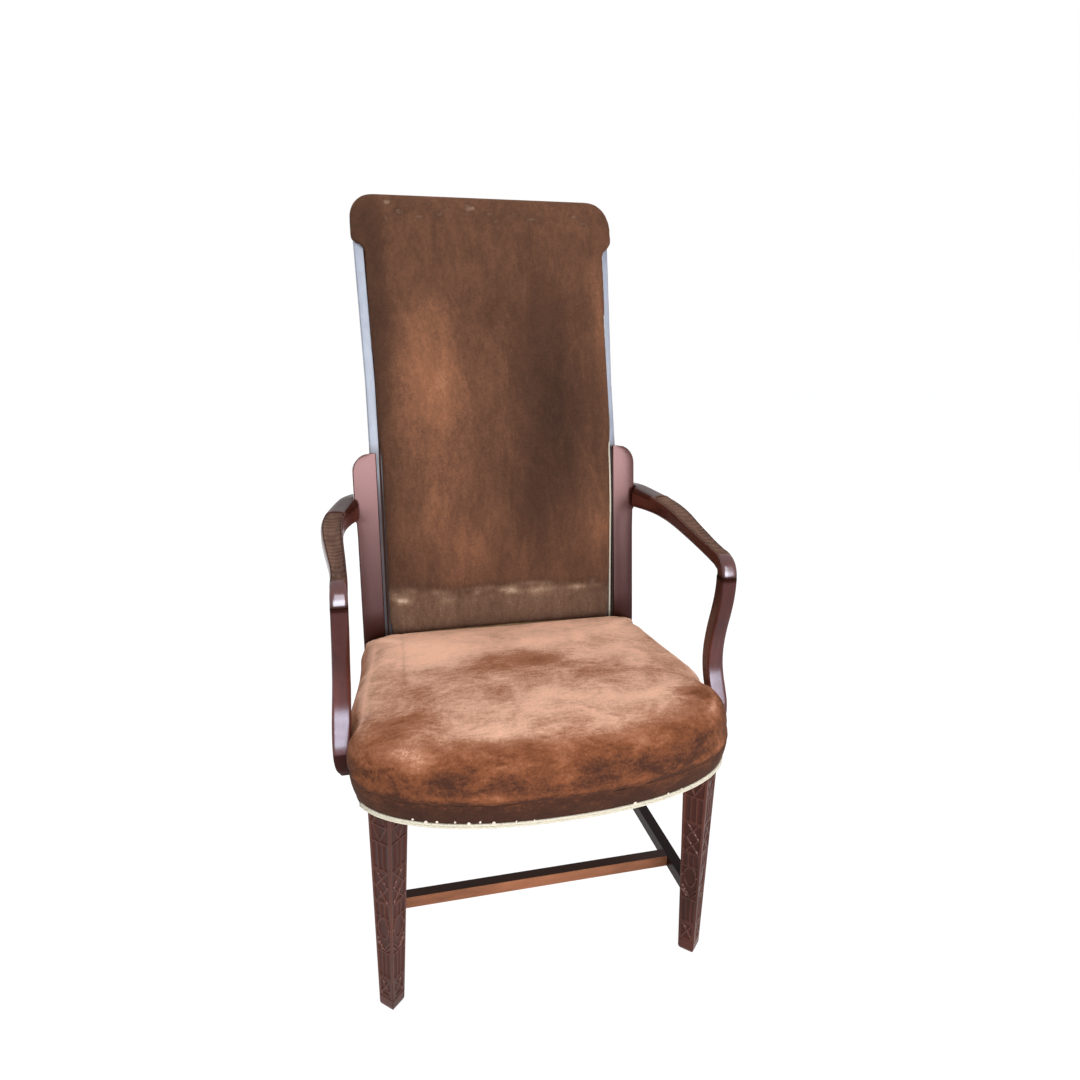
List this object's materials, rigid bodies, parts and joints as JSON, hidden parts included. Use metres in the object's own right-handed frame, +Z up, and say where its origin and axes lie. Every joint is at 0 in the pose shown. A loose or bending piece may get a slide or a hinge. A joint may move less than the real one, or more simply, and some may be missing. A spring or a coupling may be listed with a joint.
{
  "type": "armchair",
  "caption": "Open-armed fireside chair: tall leaning stuffed back with a head roll, bow-fronted stuffed seat, swept wooden arms on curved supports, square tapered legs and low stretchers",
  "frame": {"origin": "on the floor, under the middle of the chair's overall box", "axes": "+X toward the right side as seen from the front, +Y toward the back, +Z up"},
  "size_m": [0.5994, 0.656, 1.15],
  "materials": {
    "mahogany": "french-polished",
    "post_mahogany": "polished, worn grey",
    "beech": "raw",
    "velvet": "cut pile, worn",
    "border_velvet": "cut pile",
    "webbing": "woven jute",
    "hessian": "woven jute",
    "stuffing": "curled hair",
    "cream_cord": "twisted cotton",
    "black_cloth": "woven cotton",
    "steel": "plain",
    "brass": "domed, dull"
  },
  "bodies": {
    "root": {"front_leg_left": "mahogany", "front_leg_right": "mahogany", "rear_leg_left": "mahogany", "rear_leg_right": "mahogany", "front_rail": "beech", "side_rail_left": "beech", "side_rail_right": "beech", "rear_rail": "beech", "corner_blocks": "beech", "corner_screws": "steel", "side_stretcher_left": "mahogany", "side_stretcher_right": "mahogany", "medial_stretcher": "mahogany", "arm_left": "mahogany", "arm_right": "mahogany", "arm_support_left": "mahogany", "arm_support_right": "mahogany", "arm_dowels": "beech", "knuckle_dowels": "beech", "support_screws": "steel", "back_post_left": "post_mahogany", "back_post_right": "post_mahogany", "back_top_rail": "beech", "back_bottom_rail": "beech", "back_screws": "steel", "seat_webbing": "webbing", "seat_hessian": "hessian", "seat_stuffing": "stuffing", "seat_cover": "velvet", "seat_border": "border_velvet", "front_piping": "cream_cord", "front_tacks": "brass", "under_cloth": "black_cloth", "back_webbing": "webbing", "back_hessian": "hessian", "back_stuffing": "stuffing", "back_cover": "velvet", "head_stuffing": "stuffing", "head_cover": "velvet", "outside_back": "border_velvet", "back_trim_left": "border_velvet", "back_trim_right": "cream_cord", "back_nails": "brass"}
  },
  "joints": []
}
